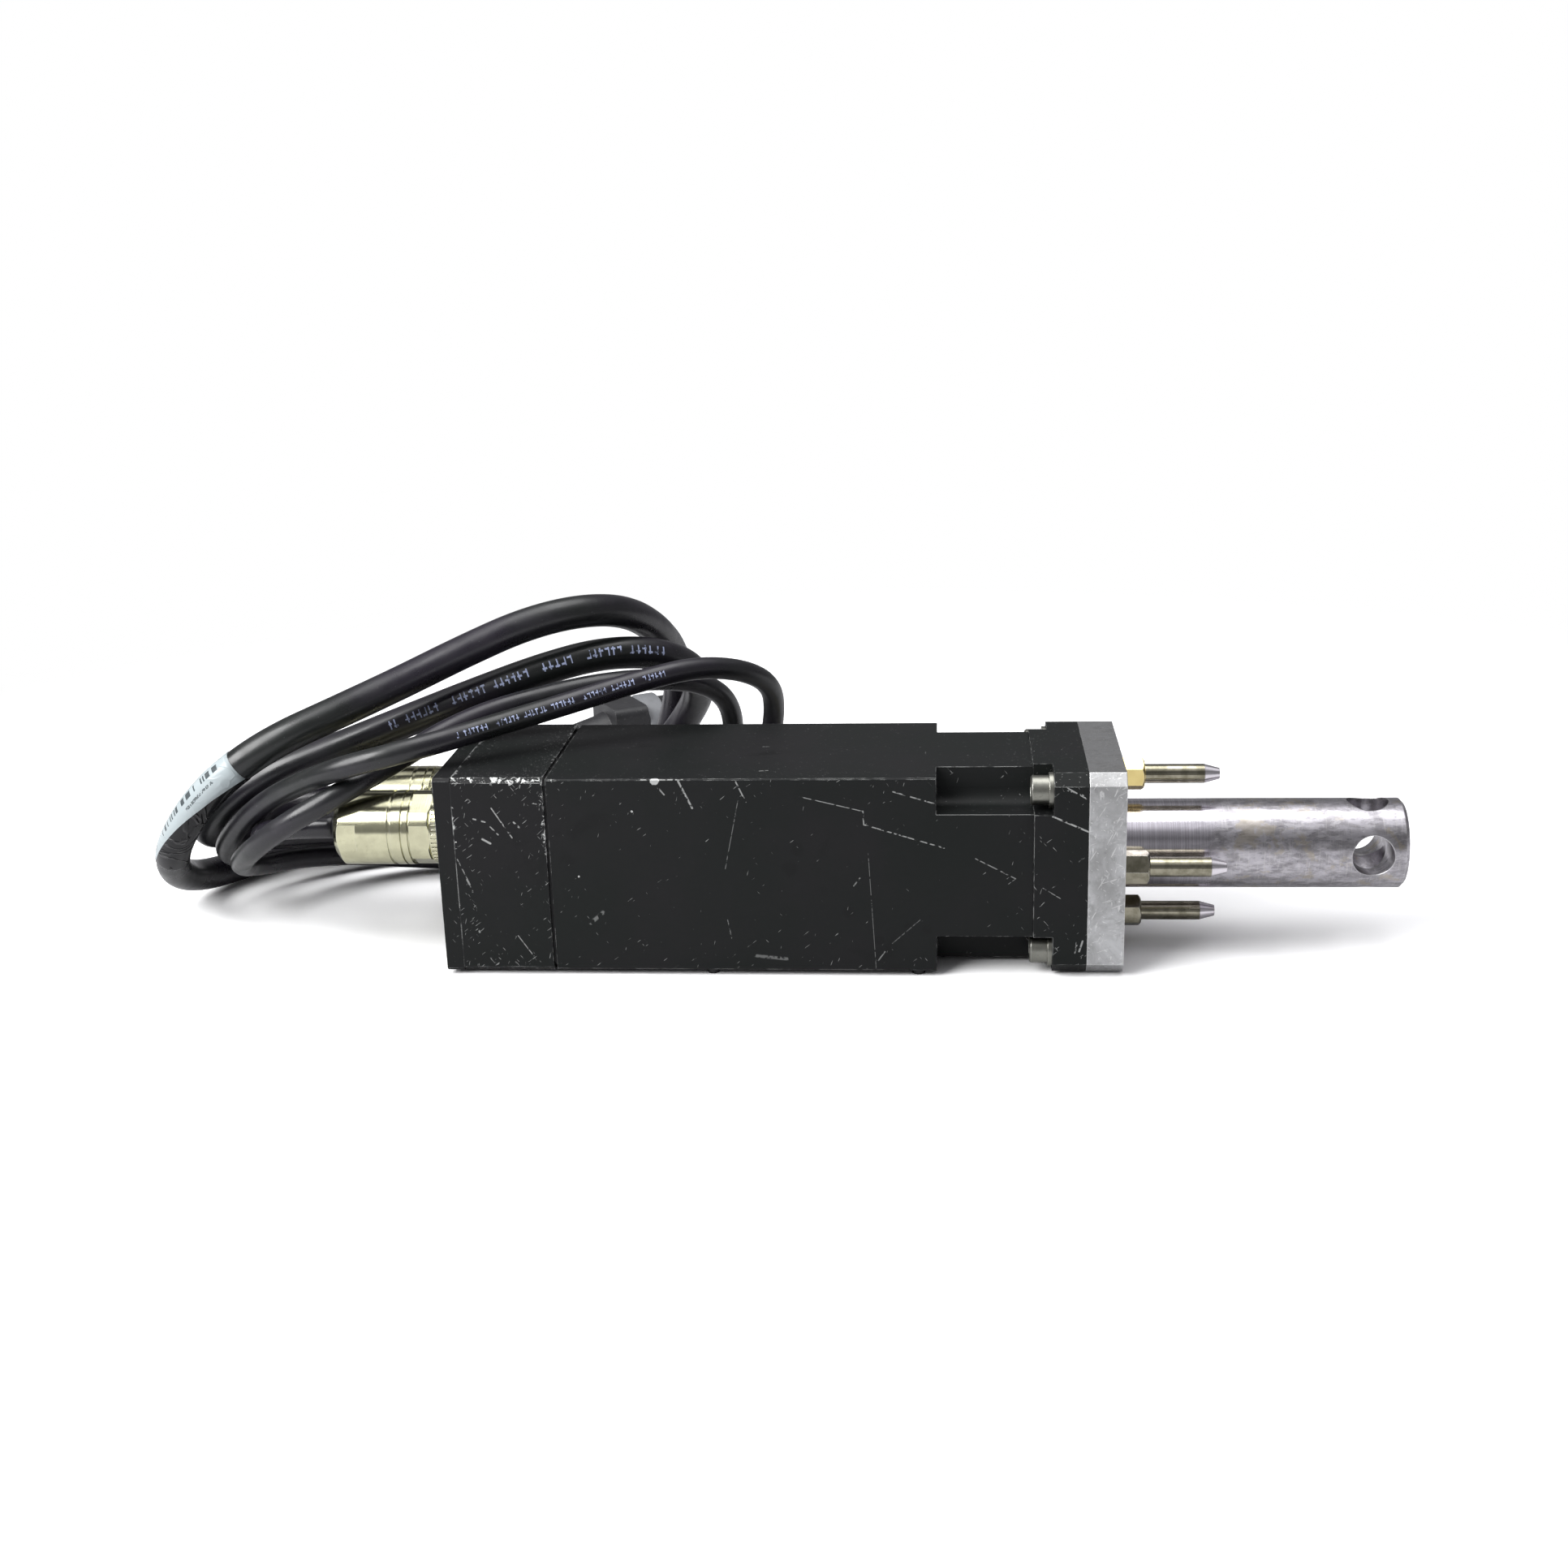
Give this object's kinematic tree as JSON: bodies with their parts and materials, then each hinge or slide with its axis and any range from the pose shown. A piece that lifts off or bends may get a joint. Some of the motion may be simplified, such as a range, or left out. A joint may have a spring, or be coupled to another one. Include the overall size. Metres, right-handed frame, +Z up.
{
  "type": "electric linear actuator",
  "caption": "Square motor housing with a lead screw inside that pushes a round rod out through a flanged plate; two cabled round connectors at the rear.",
  "frame": {"origin": "centre of the adapter plate's outer face, on the rod's axis", "axes": "+X along the rod, away from the motor; +Z up; +Y completes the right-hand frame"},
  "size_m": [0.4486, 0.2741, 0.1165],
  "materials": {
    "black_aluminium": "satin black anodised aluminium, worn at the edges",
    "bare_aluminium": "milled, mottled by handling",
    "rod_steel": "ground and hard-chromed, polished near the plate, dull further out",
    "zinc_steel": "zinc-plated fastener steel",
    "black_oxide": "blackened steel",
    "stud_steel": "bright nickel",
    "connector_metal": "nickel-plated brass, fine turning marks",
    "black_rubber": "matt rubber",
    "cable_jacket": "glossy-satin jacket",
    "plug_plastic": "fine-grained moulding",
    "plug_grey": "smooth moulding",
    "shaft_steel": "ground steel",
    "bearing_steel": "polished bearing steel",
    "bronze": "machined bronze",
    "guide_plastic": "machined acetal",
    "lamination_steel": "stacked laminations",
    "copper": "enamelled copper",
    "magnet": "nickel-plated magnet",
    "board_green": "circuit board",
    "chip_black": "moulded package",
    "disc_glass": "coated glass",
    "contact_gold": "gold plated"
  },
  "bodies": {
    "housing": {"rear_plate": "black_aluminium", "rear_housing": "black_aluminium", "rear_gasket": "black_rubber", "tie_screws": "zinc_steel", "main_housing": "black_aluminium", "base_pegs": "black_oxide", "front_cap": "black_aluminium", "adapter_plate": "bare_aluminium", "cap_screws": "zinc_steel", "cap_washers": "zinc_steel", "stud_hex_nuts": "stud_steel", "stud_pins": "stud_steel", "rod_bush": "bronze", "wiper_seal": "black_rubber", "bearing_outer_races": "bearing_steel", "bearing_retainer": "zinc_steel", "retainer_screws": "zinc_steel", "rear_bell": "bare_aluminium", "rear_bearing_outer": "bearing_steel", "stator_laminations": "lamination_steel", "stator_windings": "copper", "encoder_board": "board_green", "encoder_reader": "chip_black", "board_posts": "zinc_steel", "board_screws": "zinc_steel", "power_cable": "cable_jacket", "feedback_cable": "cable_jacket", "power_plug_hood": "plug_plastic", "power_plug_collar": "plug_grey", "power_plug_cap": "plug_plastic", "feedback_plug_boot": "plug_plastic", "feedback_plug_grip": "connector_metal", "feedback_plug_nose": "connector_metal", "feedback_receptacle": "connector_metal", "feedback_insert": "plug_plastic", "feedback_contacts": "contact_gold", "feedback_plug_shell": "connector_metal", "feedback_cable_gland": "black_rubber", "feedback_cable_core": "cable_jacket", "power_receptacle": "connector_metal", "power_insert": "plug_plastic", "power_contacts": "contact_gold", "power_plug_shell": "connector_metal", "power_cable_gland": "black_rubber", "power_cable_core": "cable_jacket"},
    "screw": {"lead_screw": "shaft_steel", "bearing_inner_races": "bearing_steel", "bearing_balls": "bearing_steel", "bearing_nut": "zinc_steel", "rear_bearing_inner": "bearing_steel", "rear_bearing_balls": "bearing_steel", "rotor_core": "shaft_steel", "rotor_magnets": "magnet", "encoder_hub": "bare_aluminium", "encoder_disc": "disc_glass"},
    "rod": {"rod_tube": "rod_steel", "screw_nut": "bronze", "rod_guide_ring": "guide_plastic"},
    "feedback_ring": {"feedback_coupling_ring": "connector_metal"},
    "power_ring": {"power_coupling_ring": "connector_metal"}
  },
  "joints": [
    {"name": "screw_spin", "type": "hinge", "parent": "housing", "child": "screw", "pos_m": [-0.15, 0, 0], "axis": [1, 0, 0], "range_deg": [-1439, 2159]},
    {"name": "rod_slide", "type": "slide", "parent": "housing", "child": "rod", "axis": [1, 0, 0], "range_m": [-0.03, 0.02]},
    {"name": "feedback_ring_turn", "type": "hinge", "parent": "housing", "child": "feedback_ring", "pos_m": [-0.233, -0.0145, 0.011], "axis": [1, 0, 0], "range_deg": [-45, 0]},
    {"name": "power_ring_turn", "type": "hinge", "parent": "housing", "child": "power_ring", "pos_m": [-0.233, 0.0145, 0.011], "axis": [1, 0, 0], "range_deg": [-45, 0]}
  ],
  "couplings": [
    {"joint": "rod_slide", "follows": "screw_spin", "m_per_rad": -0.00079577}
  ]
}
